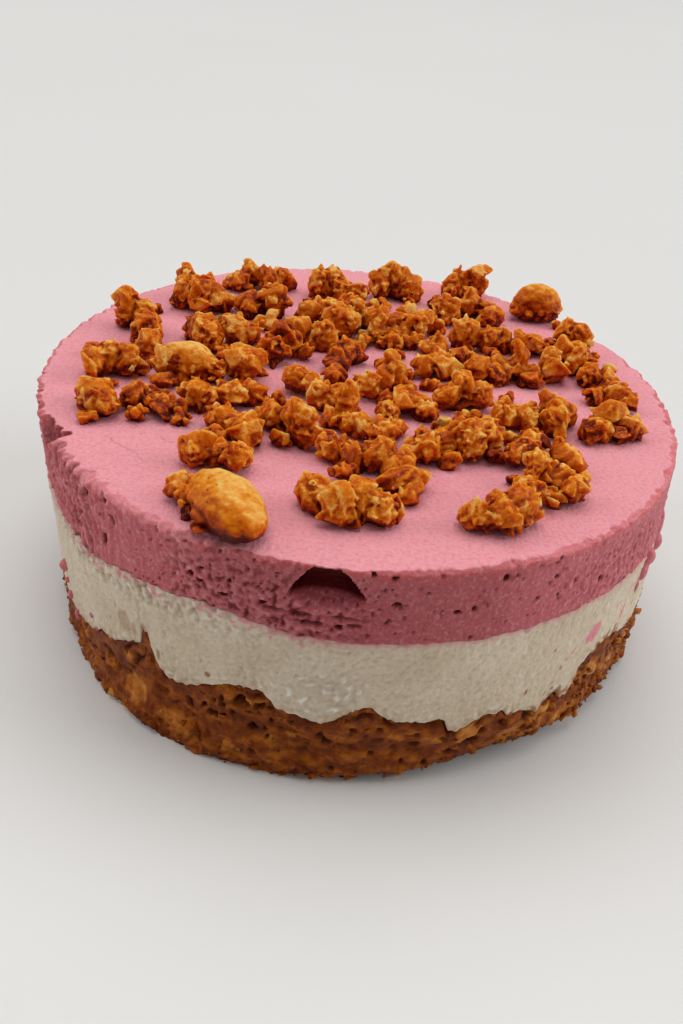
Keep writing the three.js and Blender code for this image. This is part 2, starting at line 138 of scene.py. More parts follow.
# Single pieces of nut and small heaps between the clusters: [x, y, size]
BITS = [
    (-27.5, 32.2, 3), (-25, 15.2, 4), (-17, 15.7, 5), (-11.5, 29.2, 3), (0.5, 28.7, 3.5), (7, 26.7, 5),
    (12.5, 34.2, 3.5), (12.5, 21.2, 4.5), (16, 10.2, 5), (18.5, 9.7, 3.5), (22, 12.7, 4), (-1, 11.7, 3.5),
    (-10, 6.2, 4), (-4, -1.8, 5), (3, 5.7, 3), (5.5, 9.2, 3.5), (8, 2.7, 3), (11, -0.8, 4), (8, -2.3, 3),
    (4, -7.3, 4), (-4, -15.8, 4.5), (-1, -21.8, 3.5), (-1.5, -29.8, 4.5), (8, -34.3, 4.5), (12.5, -14.3, 3.5),
    (15.5, -11.3, 3.5), (18, -9.3, 3), (13.5, -24.3, 4), (20, -21.3, 4), (22.5, -26.8, 3), (19.5, -31.3, 3),
    (27, -31.8, 4.5), (39.5, -11.8, 4.5), (38, 0.2, 5), (40, 16.2, 3), (41.5, 10.2, 4), (33, 21.7, 3),
    (35, 29.7, 2.5), (28, 4.2, 5), (28.5, 10.2, 3), (-32, -19.8, 4), (-38.5, -21.8, 3.5), (-19.5, -24.3, 4.5),
    (-10.5, -22.8, 4), (-12, -11.3, 3.5), (-16, -1.8, 2.5), (-23, 2.7, 3.5), (-34, -2.8, 3),
    (-43.5, -0.3, 3.5), (-38.5, 5.7, 2.5), (-37.5, 18.7, 3), (0.2, -40.4, 4.5), (3.5, -32.3, 2.5),
    (-25.7, -19.4, 3.9), (23.4, -3, 3.2), (-0.5, 13.3, 4.5), (2.4, 30.2, 4.5), (10.9, 25, 4),
    (-26.3, -16.2, 3.8), (-22.9, 4.6, 3.2), (12.6, -14, 3.8), (18.9, 11.3, 3.2), (16.9, -9.8, 3.2),
    (22.6, -16.6, 3.2), (-25.4, 15.7, 3.2), (-17.8, -45.2, 3.4), (-20.2, -42.6, 3.2), (-21.6, -35.6, 3.2),
    (-37.9, -10.4, 2.8),
]
# How many small marks and pieces seeded chance adds
PINK_PORES, CREAM_PORES, BACK_SMEARS, BACK_STAINS = 760, 170, 7, 26
PRESSED_NUTS, BASE_PITS, FRONT_PITS, CRUMBS, HIDDEN_TRIES = 420, 300, 26, 620, 3000
CRUMBS_AT_RIGHT = (-62, -8)  # the angles between which crumbs lie thickest
PIECE_SIZES = (0.8, 1.1, 1.5, 1.9, 2.4)  # of broken nuts, by the size of their cluster's pieces
ON_KERNEL, NEAR_KERNEL = 1.12, 1.15  # how far a kernel's skin and surroundings reach, by its form
NUT_VOXEL, DRIP_VOXEL = 0.21, 0.2
NUTS_REACH = 44  # how far from the middle of the top the nuts lie
FOOT = CAKE_TOP - 0.15  # how low the toppings reach, just into the cream
OUTSIDE = 70  # a distance from the axis that is clear of the cake
FLOOR_HALF = 40000
EYE = Vector((0, -140.58, 108.01))  # where the photograph was taken from
VIEW_RIGHT = Vector((0.99459546, 0.06347867, 0.08216043))
VIEW_UP = Vector((-0.10364771, 0.5606646, 0.8215305))
LIT_FROM = Vector((0.3, 0.4, 0.86))  # the way light is painted as falling on the whole kernels, which are painted palest facing it


def lean(height):
    """How far the cake's axis stands to the right at a height."""
    return LEAN * (1 - height / CAKE_TOP)


def smooth(low, high, value):
    """0 at low and 1 at high, which may be the smaller one."""
    share = np.clip((value - low) / (high - low), 0, 1)
    return share * share * (3 - 2 * share)


def grain(points, size, seed):
    """Smooth noise from about -1 to 1 at each point. Size is that of its features, by axis or for all."""
    flat = (points / np.array(size) + 31.7 * seed).reshape(-1, 3).tolist()
    return np.array([noise.noise(p) for p in flat]).reshape(points.shape[:-1])


def solid_tree(*nodes):
    """The skins of solids as one search tree, in millimetres."""
    points, faces = [], []
    for node in nodes:
        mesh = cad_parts[node].data
        faces += [[len(points) + i for i in p.vertices] for p in mesh.polygons]
        points += [v.co / MM for v in mesh.vertices]
    return BVHTree.FromPolygons(points, faces)


def wall_edge(node, angles):
    """The height of a solid's top at each angle, just inside its wall."""
    tree = solid_tree(node)
    edge = []
    for turn in np.radians(angles):
        height = CAKE_TOP / 2
        for _ in range(2):
            start = ((RADIUS - 0.8) * math.cos(turn) + lean(height), (RADIUS - 0.8) * math.sin(turn), 60)
            height = tree.ray_cast(start, (0, 0, -1))[0].z
        edge.append(height)
    width = round(len(angles) / FACETS) | 1
    padded = np.concatenate([edge[-width:], edge, edge[:width]])
    return np.convolve(padded, np.ones(width) / width, "same")[width:-width]


def from_outside(tree, angle, height):
    """Where a level ray from outside meets a skin, and the way out of the cake there."""
    turn = math.radians(angle)
    out = Vector((math.cos(turn), math.sin(turn), 0))
    return tree.ray_cast(out * OUTSIDE + Vector((lean(height), 0, height)), -out)[0], out


def solid_radius(node, angles, heights):
    """How far a solid's wall is from the axis at each [ring, step], found from outside."""
    tree = solid_tree(node)
    found = np.full(heights.shape, RADIUS)
    for (ring, step), height in np.ndenumerate(heights):
        hit, _ = from_outside(tree, angles[step], height)
        if hit:
            found[ring, step] = math.hypot(hit.x - lean(height), hit.y)
    return found


class Layer:
    """A layer as rings of points, from the middle of its underside up its wall to the middle of its
    top. radius, height and the painted values are arrays of [ring, step round the cake]."""

    def __init__(self, grid, lower, upper, under, top):
        around, rows = grid
        self.around = around
        angles = np.arange(around) * 360 / around
        self.angles = np.where(angles > 180, angles - 360, angles)
        climb = np.linspace(0, 1, rows)[:, None]
        low = lower(self.angles) if callable(lower) else lower
        high = upper(self.angles) if callable(upper) else upper
        wall = low + climb * (high - low)
        shares = np.array([*under, *[1.0] * rows, *top])
        self.wall = slice(len(under), len(under) + rows)
        self.top = slice(len(under) + rows, len(shares))
        self.radius = np.repeat(shares[:, None] * RADIUS, around, axis=1)
        self.height = np.vstack([
            np.repeat(wall[:1], len(under), axis=0), wall, np.repeat(wall[-1:], len(top), axis=0),
        ])
        self.paint = {}

    def painted(self, name):
        return self.paint.setdefault(name, np.zeros(self.radius.shape))

    def on_the_wall(self, *names):
        """The wall's radius, height and painted values, which can be changed in place."""
        return [whole[self.wall] for whole in (self.radius, self.height, *map(self.painted, names))]

    def mark(self, name, value, where=None):
        """Paints the wall, or a window of it, where less than the value is painted."""
        spot, paint = self.wall if where is None else where, self.painted(name)
        paint[spot] = np.maximum(paint[spot], value)

    def points(self):
        turn = np.radians(self.angles)
        x = self.radius * np.cos(turn) + lean(self.height)
        return np.stack([x, self.radius * np.sin(turn), self.height], axis=-1)

    def away(self, angle, height):
        """How far each wall point lies from a place on the wall, along it and up it."""
        turn = (self.angles - angle + 180) % 360 - 180
        return np.radians(turn) * RADIUS, self.height[self.wall] - height

    def near(self, angle, height, reach):
        """The window of wall points within reach of a place: its index, and the distances in it."""
        half = int(reach / (math.tau * RADIUS / self.around)) + 2
        middle = round((angle % 360) / 360 * self.around)
        steps = np.arange(middle - half, middle + half + 1) % self.around
        window = np.ix_(np.arange(self.wall.start, self.wall.stop), steps)
        turn = (self.angles[steps] - angle + 180) % 360 - 180
        return window, np.radians(turn) * RADIUS, self.height[window] - height

    def object(self, name, finish):
        """The layer's mesh, spun from one profile and then set to its rings."""
        bm = bmesh.new()
        ring = bm.verts.layers.int.new("ring")
        profile, on_axis = [], (0, len(self.radius) - 1)
        for number, (radius, height) in enumerate(zip(self.radius[:, 0], self.height[:, 0])):
            profile.append(bm.verts.new((0 if number in on_axis else radius, 0, height)))
            profile[-1][ring] = number
        edges = [bm.edges.new(pair) for pair in zip(profile, profile[1:])]
        bmesh.ops.spin(
            bm, geom=profile + edges, cent=(0, 0, 0), axis=(0, 0, 1), angle=math.tau,
            steps=self.around, use_merge=True,
        )
        poles = [v for v in bm.verts if v[ring] in on_axis]
        bmesh.ops.remove_doubles(bm, verts=poles, dist=1e-4)
        places = self.points()
        layers = {key: bm.verts.layers.float.new(key) for key in self.paint}
        for vertex in bm.verts:
            row = vertex[ring]
            step = round(math.atan2(vertex.co.y, vertex.co.x) / math.tau * self.around) % self.around
            place = Vector(places[row, step])
            vertex.co = (lean(place.z), 0, place.z) if row in on_axis else place
            for key, layer in layers.items():
                vertex[layer] = self.paint[key][row, step]
        bmesh.ops.recalc_face_normals(bm, faces=bm.faces)
        return finished(bm, name, finish)


def as_mesh(bm, name):
    """A mesh made of a bmesh, which is used up."""
    mesh = bpy.data.meshes.new(name)
    bm.to_mesh(mesh)
    bm.free()
    return mesh


def placed(name, data):
    """A new object in the scene."""
    thing = bpy.data.objects.new(name, data)
    bpy.context.scene.collection.objects.link(thing)
    return thing


def finished(bm, name, finish):
    """A bmesh in millimetres as a smooth shaded object in metres."""
    bmesh.ops.transform(bm, matrix=Matrix.Scale(MM, 4), verts=bm.verts)
    mesh = as_mesh(bm, name)
    mesh.shade_smooth()
    mesh.materials.append(finish)
    piece = placed(name, mesh)
    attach(piece, "root")
    return piece


def fray(angles, size, depth, seed):
    """A ragged line round the cake: how far it wanders at each angle."""
    turn = np.radians(angles)
    ring = np.stack([np.cos(turn) * RADIUS, np.sin(turn) * RADIUS, np.zeros_like(turn)], axis=-1)
    return depth * grain(ring, size, seed)


def base_edge(angles):
    """Where the base meets the plain cream on the wall."""
    seen = smooth(-154, -149, angles) * smooth(-32, -36, angles)
    edge = wall_edge("nut_base", angles) * (1 - seen) + np.interp(angles, *zip(*BASE_EDGE)) * seen
    return edge + fray(angles, 2.4, 0.35, 3) * (1.6 - seen) + fray(angles, 0.9, 0.35, 4)


def seam_edge(angles):
    """Where the plain cream meets the strawberry cream on the wall."""
    return wall_edge("cream_layer", angles) + fray(angles, 3, 0.35, 5) + fray(angles, 0.9, 0.25, 6)


def dent(layer, angle, height, half_width, half_height, depth, dark=1):
    """Presses a rounded pore into the wall and paints shade into it."""
    window, along, up = layer.near(angle, height, 2 * half_width)
    share = np.sqrt((along / half_width) ** 2 + (up / half_height) ** 2)
    share = share + 0.4 * grain(layer.points()[window], max(0.5, 0.8 * half_width), 10)
    layer.radius[window] -= depth * np.clip(1 - share ** 2, 0, 1) ** 0.5
    layer.mark("pit", dark * (1 - smooth(0.55, 1.25, share)), window)


def stain(layer, key, angle, height, half_width, half_height, strength=1, slant=0):
    """Paints a soft-edged patch on the wall. Slant leans it to the left as it goes down."""
    window, along, up = layer.near(angle, height, 2 * (half_width + abs(slant) * half_height))
    share = np.sqrt(((along - slant * up) / half_width) ** 2 + (up / half_height) ** 2)
    ragged = 0.25 * grain(layer.points()[window], 0.8, 9)
    layer.mark(key, strength * (1 - smooth(0.75, 1.1, share + ragged)), window)


def roughen_pink(layer, grained):
    """The far left of the front is deeply pitted, then comes a streaked part and then a spongy one."""
    angles = layer.angles
    radius, height, pit, pink = layer.on_the_wall("pit", "wall")
    behind = smooth(-10, 10, angles) + smooth(-165, -175, angles)
    left = smooth(-128, -138, angles) * smooth(-178, -165, angles)
    streaked = smooth(-140, -134, angles) * smooth(-110, -118, angles)
    spongy = smooth(-120, -112, angles) * smooth(-80, -98, angles) * (0.55 + 0.45 * smooth(36, 33, height))
    right = 0.6 * smooth(-62, -46, angles) * (1 - np.minimum(behind, 1)) * smooth(36.5, 33, height)
    patches = smooth(0, 0.3, grained((22, 22, 30), 11)) * behind
    folds = 1 - abs(grained((1, 1, 3.4), 12)) * 2.4
    crumple = grained((0.7, 0.7, 0.9), 21)
    pits = smooth(0.36, 0.62, grained((0.6, 0.6, 0.9), 13))
    tears = smooth(0.4, 0.6, grained((0.9, 0.9, 2.2), 24)) * left
    rough = np.clip(left + 0.75 * patches + 0.3 * right + 0.1, 0, 1)
    sponge = np.clip(spongy + right + 0.5 * left, 0, 1)
    radius += rough * (0.26 * folds + 0.3 * crumple - 0.3 * pits - 0.35 * tears - 0.12)
    radius += sponge * 0.3 * crumple
    radius += streaked * 0.16 * (1 - abs(grained((1.3, 1.3, 9), 30)) * 3)
    shaded = 0.34 * smooth(0.5, -0.2, folds) + 0.3 * smooth(0.05, -0.35, crumple)
    # Pits, tears and the hollows of the folds and crumples get painted shade.
    pit[:] = rough * np.clip(0.5 * pits + 0.6 * tears + shaded, 0, 0.85)
    layer.mark("pit", 0.7 * sponge * smooth(-0.08, -0.42, crumple))
    # The front of the wall gets painted shade, as the light falls from behind.
    pit += 0.24 * smooth(-118, -104, angles) * smooth(-56, -70, angles)
    # The raised crumples of the sponge are painted lighter, towards the top's colour: a painted highlight.
    pink -= 0.5 * sponge * smooth(0.1, 0.45, crumple)
    radius += 0.12 * grained(7, 14) + 0.045 * grained(1, 15)


def air_pocket(layer, grained):
    """A hollow with a roof like a tent, deepest just under it, and low creases in the wall below it, with
    painted shade in the creases and the hollow.
    """
    radius, _, pit = layer.on_the_wall("pit")
    angle, half, corners, rise, drop, depth = AIR_POCKET
    along, up = layer.away(angle, corners - 4)
    band = np.exp(-((along + 1.5) / 8.5) ** 2 - (up / 1.9) ** 2)
    crease = grained((3.4, 3.4, 0.6), 16) + 0.5 * grained((1.2, 1.2, 0.7), 27)
    radius += band * 0.75 * crease
    # The hollows of the creases get painted shade.
    layer.mark("pit", band * smooth(0.08, 0.4, -crease) * 1.3)

    # The floor slopes out to the wall, and painted shade fills it by how deep it is as seen from above.
    along, up = layer.away(angle, corners)
    share = np.clip(np.abs(along + 0.12 * grained(1.5, 28)) / half, 0, 1)
    roof = rise * np.clip((1 - share) / 0.62, 0, 1) ** 0.8
    bulge, floor = 0.3 * rise * (1 - share ** 2), -drop * (1 - share ** 2)
    under = smooth(0, 0.35, roof - up)
    cut = depth * under * smooth(0, 1, (up - floor) / np.maximum(bulge - floor, 0.01))
    radius -= cut
    inside = under * smooth(1, 0.97, share) * smooth(-0.3, 0.2, up - floor)
    seen = up + 0.7 * cut - 1.7 * np.sqrt(1 - share ** 2)
    pit[:] = pit * (1 - inside) + 1.5 * inside * smooth(-1, 0.7, seen)


def nibble_rim(layer, grained):
    """Nibbles the rim, gives it a thin proud lip, lumps and bites, paints shade under the nibbled lip and in
    the bites, and returns the nibbling.
    """
    angles = layer.angles
    radius, height, pink = layer.on_the_wall("wall")
    under_rim = CAKE_TOP - height
    rim = layer.points()[layer.wall.stop - 1]
    uneven = 0.35 + 0.65 * smooth(0, 0.3, grain(rim, 18, 22))
    nibble = uneven * (smooth(0.1, 0.5, grain(rim, 2.6, 17)) + 0.8 * smooth(0.1, 0.5, grain(rim, 0.9, 18)))
    nibble += 1.6 * smooth(0.05, 0.45, grain(rim, 4.5, 25)) * smooth(-100, -112, angles)
    nibble += 1.1 * smooth(0.05, 0.4, grain(rim, 1.7, 32)) * smooth(-88, -74, angles)
    lip, round_rim = smooth(1, 0, under_rim), smooth(0.5, 0, under_rim)
    radius += lip * (0.2 - 0.35 * nibble)
    # Painted shade under the nibbled lip.
    layer.mark("pit", 0.2 * lip * smooth(0.8, 1.6, nibble) * smooth(-112, -104, angles))
    height -= round_rim * (0.1 + 0.2 * nibble)
    radius -= 0.16 * round_rim ** 2
    lumpy = np.interp(angles, *zip(*RIM_LUMPS))
    turned = lumpy * (1.3 + 1.4 * grained((1.7, 1.7, 1.7), 26)) + 0.01
    share = np.clip(1 - under_rim / turned, 0, 1)
    radius -= 0.75 * turned * (1 - np.sqrt(1 - share ** 2))
    pink *= 1 - 0.95 * np.sqrt(lumpy) * smooth(0, 0.35, share)
    radius += 0.3 * np.sqrt(lumpy) * smooth(0, 0.35, share) * grained(0.9, 31)
    for angle, reach, middle, half_width, bite_depth, half_height in RIM_BITES:
        along, up = layer.away(angle, middle)
        left_over = 1 - (along / half_width) ** 2 - (up / half_height) ** 2
        left_over += 0.75 * grained((0.9, 0.9, 1.4), 23) * (left_over > -1)
        cut = reach - bite_depth * np.sqrt(np.clip(left_over, 0, 1))
        radius[:] = np.where(left_over > 0, np.minimum(radius, cut), radius)
        # Painted shade in the bite.
        layer.mark("pit", 0.7 * smooth(0.05, 0.6, left_over))
    return nibble


def strawberry_layer(finish):
    rng = random.Random(21)
    outer = [50, 49.7, 49.4, 49.1, 48.7, 48.3, 47.9, 47.4, 46.9, 46.3, 45.7, 45, 44, 43, 41.5, 40]
    rings = [*np.array(outer) / RADIUS, *np.arange(38, 12, -2) / RADIUS, 0.15, 0]
    layer = Layer(STRAWBERRY_GRID, seam_edge, CAKE_TOP, [0, 0.5, 0.97], rings)
    wall, top = layer.wall, layer.top
    grained = partial(grain, layer.points()[wall])
    layer.painted("wall")[: wall.stop] = 1
    # A painted red glow along the rim, as of light shining through the edge of the cream.
    under_glowing_rim = CAKE_TOP - layer.height[wall] + 0.8 * grained(1.1, 29)
    layer.painted("rim")[wall] = smooth(1.7, 0.6, under_glowing_rim)
    roughen_pink(layer, grained)
    air_pocket(layer, grained)
    for place in WALL_PORES:
        dent(layer, *place, 0.8, 1.7)
    for _ in range(PINK_PORES):
        size = 0.14 + 0.22 * rng.random() ** 3
        tall = size * rng.uniform(0.7, 1.3)
        dent(layer, rng.uniform(-180, 180), rng.uniform(27, 37.6), size, tall, 0.35, rng.uniform(0.3, 1.1))
    nibble = nibble_rim(layer, grained)

    # The top starts just inside the rim and is nearly flat.
    edge = layer.radius[wall.stop - 1]
    for number, ring in enumerate(range(top.start, top.start + len(outer))):
        layer.radius[ring] = np.minimum(layer.radius[ring], edge - 0.18 - 0.12 * number)
    layer.height[top.start] -= 0.03 + 0.12 * nibble
    layer.height[top.start + 1] -= 0.03 * nibble
    flat = layer.points()[top]
    layer.height[top] += 0.1 * grain(flat, 9, 19) + 0.035 * grain(flat, 1.6, 20)
    from_cracks = np.hypot((flat[..., 0] + 31) / 1.3, flat[..., 1] + 25)
    layer.painted("cracked")[top] = smooth(10, 5, from_cracks)
    return layer.object("strawberry_cream", finish)


def cream_layer(finish):
    rng = random.Random(22)
    layer = Layer(CREAM_GRID, base_edge, seam_edge, [0, 0.5, 0.95], [0.95, 0.5, 0])
    angles, grained = layer.angles, partial(grain, layer.points()[layer.wall])
    radius, height, pit, bead, berry, crumb = layer.on_the_wall("pit", "bead", "berry", "crumb")
    under_seam, over_base = height[-1:] - height, height - height[:1]
    pitted = smooth(6.5, 1, under_seam) * smooth(-98, -112, angles) * smooth(-170, -150, angles)
    elsewhere = smooth(0.1, 0.4, grained((22, 22, 40), 31)) * smooth(90, 70, abs(abs(angles) - 180))
    pitted = np.maximum(pitted, 0.6 * elsewhere * smooth(5, 1, under_seam))
    pits = smooth(0.2, 0.55, grained((0.8, 0.8, 1.7), 32))
    knots = grained((0.7, 0.7, 0.9), 37)
    radius += pitted * (0.18 - 0.4 * pits + 0.3 * knots)
    # Pits and the low parts of the knots get painted shade.
    pit[:] = pitted * np.clip(0.55 * pits + 0.5 * smooth(0, -0.4, knots), 0, 0.8)
    curdled = smooth(9, 3, abs(angles + 92) * 0.87) * smooth(12.5, 14, height) * smooth(22, 18, height)
    curdled = np.maximum(curdled, 0.5 * smooth(2.2, 0.8, over_base))
    beads = smooth(0.15, 0.5, grained(0.8, 33))
    radius += 0.3 * curdled * beads
    # Raised beads and knots are painted pale: partly pale curds, partly painted highlight on their tops.
    bead[:] = np.clip(curdled * beads + 0.5 * pitted * smooth(0.1, 0.45, knots), 0, 1)
    blots = grained((0.8, 0.8, 0.6), 38) + 0.35 * smooth(2.2, 0, under_seam) - 0.2
    spilled = smooth(0.05, 0.3, blots) * smooth(2.6, 1.6, under_seam)
    radius += 0.15 * spilled
    berry[:] = 0.8 * spilled * smooth(-85, -95, angles) * smooth(-165, -150, angles)
    dust = 0.6 * smooth(1.1, 0.1, under_seam + 0.7 * grained(0.6, 39)) * smooth(-112, -100, angles)
    layer.mark("berry", dust)
    radius += 0.14 * grained(8, 34) + 0.05 * grained((1.2, 1.2, 2), 35)
    grains = grained(0.6, 36)
    radius += 0.13 * grains
    # The hollows between the grains get painted shade.
    pit += 0.3 * smooth(-0.1, -0.5, grains)
    dust = smooth(1.3, 0.6, over_base + 3 * grained(0.8, 40))
    dust *= smooth(-0.2, 0.1, grained(5, 41))
    crumb[:] = 0.95 * dust * (0.35 + 0.65 * smooth(-64, -54, angles))
    radius -= 0.12 * smooth(0.7, 0, under_seam) + 0.1 * smooth(0.5, 0, over_base)
    for _ in range(CREAM_PORES):
        size = 0.14 + 0.16 * rng.random() ** 2
        dent(layer, rng.uniform(-180, 180), rng.uniform(11, 27), size, size, 0.25, rng.uniform(0.25, 0.6))
    for place in SMEARS:
        stain(layer, "berry", *place)
    for _ in range(BACK_SMEARS):
        place, size = (rng.uniform(10, 170), rng.uniform(14, 25)), 0.2 + 0.9 * rng.random() ** 2
        stain(layer, "berry", *place, size, size * rng.uniform(1, 2.5), 1, rng.uniform(-0.6, 0.6))
    for place in CREAM_STAINS:
        stain(layer, "crumb", *place)
    for _ in range(BACK_STAINS):
        size = rng.uniform(0.2, 0.5)
        place = rng.uniform(-40, 200), rng.uniform(12, 22)
        stain(layer, "crumb", *place, size, size * 1.2, rng.uniform(0.5, 1))
    return layer.object("plain_cream", finish)


def base_layer(finish):
    rng = random.Random(23)
    layer = Layer(BASE_GRID, 0, base_edge, [0, 0.5, 0.9], [0.95, 0.5, 0])
    radius, height = layer.on_the_wall()

    # The wall keeps the form of the solid, with a more ragged foot.
    jag = np.abs(fray(layer.angles, 1.6, 1.5, 45)) + np.abs(fray(layer.angles, 0.7, 0.8, 46))
    low = smooth(5, 1, height)
    form = solid_radius("nut_base", layer.angles, np.maximum(height - jag * low, 0.02))
    for _ in range(8):
        form = (np.roll(form, 3, axis=1) + 2 * form + np.roll(form, -3, axis=1)) / 4
    radius[:] = form - 0.2
    grained = partial(grain, layer.points()[layer.wall])

    # Pieces of nut lie pressed flat in the date paste, each with its own tone.
    raised = np.zeros(layer.radius.shape)
    tone = layer.painted("tone")
    tone[:] = 0.4
    for _ in range(PRESSED_NUTS):
        long = 0.5 + 1.3 * rng.random() ** 1.5
        wide = long * rng.uniform(0.45, 0.9)
        turn = rng.gauss(0, 0.6)
        lift = rng.uniform(0.1, 0.4) * min(1, long / 1.2)
        own_tone = rng.choice((0.25, 0.38, 0.48, 0.55, 0.62, 0.85))
        window, along, up = layer.near(rng.uniform(-180, 180), rng.uniform(0, 15.5), 1.3 * long)
        a = (along * math.cos(turn) + up * math.sin(turn)) / long
        b = (up * math.cos(turn) - along * math.sin(turn)) / wide
        ragged = 0.3 * grain(layer.points()[window], 0.7, 47)
        dome = lift * np.clip(1.4 * np.sqrt(np.clip(1 - a ** 2 - b ** 2 + ragged, 0, 1)), 0, 1)
        higher = dome > raised[window]
        raised[window] = np.where(higher, dome, raised[window])
        tone[window] = np.where(higher & (dome > 0.6 * lift), own_tone, tone[window])
    radius += raised[layer.wall]
    paste = 0.4 * grained((4.5, 4.5, 3), 40) + 0.3 * grained(2, 41)
    crumbly = 0.2 + 0.8 * smooth(5, 1.5, height) + 0.5 * smooth(0, 0.3, grained(9, 48))
    crumble = 0.5 * np.abs(grained(1.3, 42)) + 0.3 * np.abs(grained(0.6, 43))
    radius += paste + crumbly * (crumble - 0.15)
    hollows = smooth(0.22, 0.55, grained((1.7, 1.7, 1.1), 44)) * smooth(9, 3, height[-1:] - height)
    radius -= 0.8 * hollows
    # The undercut foot, the hollows and the gaps in the crumble get painted shade.
    shadow = 1.1 * smooth(0.5, 1.4, RADIUS - form) * smooth(4.5, 3.5, height)
    gaps = np.clip(hollows + 0.5 * smooth(0.08, 0, crumble) * crumbly, 0, 1) * 0.85
    layer.mark("pit", np.clip(np.maximum(gaps, shadow), 0, 1))
    dent(layer, -68, 6.5, 2.1, 1, 1.2)
    for _ in range(BASE_PITS):
        size = 0.14 + 0.5 * rng.random() ** 4
        depth = rng.uniform(0.4, 1.1) * min(1, size / 0.4)
        dent(layer, rng.uniform(-180, 180), rng.uniform(0.5, 15), size, size * rng.uniform(0.5, 1), depth)
    for _ in range(FRONT_PITS):
        middle, rise = rng.gauss(-104, 5), rng.uniform(7.5, 12.5)
        size = rng.uniform(0.25, 0.7)
        dent(layer, middle, rise, size, size * rng.uniform(0.6, 1.3), 1.2)
    radius -= 0.3 * smooth(0.8, 0, height[-1:] - height)
    stain(layer, "nutty", -126, 5, 2.6, 2)
    stain(layer, "nutty", -117, 3.4, 3.4, 1.6, 0.7)
    for place in NUTTY_PATCHES:
        stain(layer, "nutty", *place, 2.4, 1.9, 0.9)
    return layer.object("nut_and_date_base", finish)


def random_way(rng):
    """A direction by chance."""
    return Vector([rng.gauss(0, 1) for _ in range(3)]).normalized()


def shard(bm, rng, centre, size, squash, corners=11):
    """Adds a chopped piece of nut or crumb: the hull of a few corners, longer than it is wide."""
    made = [bm.verts.new(random_way(rng)) for _ in range(corners)]
    bmesh.ops.convex_hull(bm, input=made)
    stretch = Matrix.Diagonal((size * 1.15, size * rng.uniform(0.6, 0.95), size * squash, 1))
    axis = random_way(rng)
    turn = Matrix.Rotation(rng.uniform(0, math.tau), 4, axis)
    bmesh.ops.transform(bm, matrix=Matrix.Translation(centre) @ turn @ stretch, verts=made)
    return made


def in_kernel(point, x, y, long, wide, high, turn, _tone, _reach):
    """How far out a point lies in a kernel: 1 on its skin and less inside."""
    away = Matrix.Rotation(-math.radians(turn), 3, "Z") @ (point - Vector((x, y, CAKE_TOP + 0.36 * high)))
    return math.sqrt((2 * away.x / long) ** 2 + (2 * away.y / wide) ** 2 + (away.z / (0.64 * high)) ** 2)


def melted(bm, name, voxel):
    """Melts overlapping closed pieces into one skin."""
    mesh = as_mesh(bm, name)
    lump = placed(name, mesh)
    remesh = lump.modifiers.new("melt", "REMESH")
    remesh.mode = "VOXEL"
    remesh.voxel_size = voxel
    skin = bmesh.new()
    skin.from_object(lump, bpy.context.evaluated_depsgraph_get())
    bpy.data.objects.remove(lump)
    bpy.data.meshes.remove(mesh)
    return skin


def surface_places(bm, rng, spacing):
    """Random places on a closed skin but for its foot, about spacing apart, as [point, normal]."""
    faces = [f for f in bm.faces if f.calc_center_median().z > CAKE_TOP + 0.6]
    areas = [f.calc_area() for f in faces]
    found = []
    for face in rng.choices(faces, areas, k=round(9 * sum(areas) / spacing ** 2)):
        weights = [rng.random() for _ in face.verts]
        point = sum((v.co * w for v, w in zip(face.verts, weights)), Vector()) / sum(weights)
        if all((point - other).length > spacing for other, _ in found):
            found.append((point, face.normal.copy()))
    return found


def nut_cluster(number):
    """A cluster of broken, caramel coated nuts, built out from its own solid."""
    name = f"peanut_cluster_{number:02d}"
    rng = random.Random(500 + number)
    core = bmesh.new()
    core.from_mesh(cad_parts[name].data)
    bmesh.ops.transform(core, matrix=Matrix.Scale(1 / MM, 4), verts=core.verts)
    bmesh.ops.remove_doubles(core, verts=core.verts, dist=1e-3)
    core.normal_update()
    whole = KERNELS.get(number)
    mean_tone = CLUSTER_TONES.get(number, rng.uniform(0.51, 0.61))
    size, grainy = rng.uniform(0.95, 1.2), rng.uniform(0, 0.4)
    tones, pieces = [], bmesh.new()
    for point, normal in surface_places(core, rng, 1.2 * size):
        if whole and in_kernel(point, *whole) < NEAR_KERNEL and point.z > CAKE_TOP + whole[-1]:
            continue
        own = size * rng.choice(PIECE_SIZES)
        centre = point - normal * own * rng.uniform(0.5, 0.75)
        centre.z = max(centre.z, CAKE_TOP + 0.3 * own)
        shard(pieces, rng, centre, own, rng.uniform(0.55, 0.9))
        # Some pieces are pale nut; pieces facing up are more often pale and are paler: painted light from
        # above.
        pale = rng.random() < 0.12 + 0.12 * normal.z
        tone = rng.uniform(0.72, 0.95) if pale else mean_tone + 0.08 * normal.z + rng.gauss(0, 0.1)
        tones.append((centre, own, tone))
        if own > 1 and rng.random() < grainy:
            for _ in range(rng.randint(4, 9)):
                way = Vector((rng.gauss(0, 1), rng.gauss(0, 1), rng.gauss(0.3, 1))) + 0.8 * normal
                bit = rng.uniform(0.3, 0.65)
                spot = centre + way.normalized() * own * rng.uniform(0.6, 0.78)
                shard(pieces, rng, spot, bit, 0.8, 9)
                tones.append((spot, bit, mean_tone + rng.gauss(0.1, 0.16)))
    for vertex in core.verts:
        inset = 0.1 if whole and in_kernel(vertex.co, *whole) < NEAR_KERNEL else 0.3
        vertex.co -= vertex.normal * inset
    skin = melted(gathered([pieces, core]), name, NUT_VOXEL)
    coat(skin, tones, whole, mean_tone)
    return skin


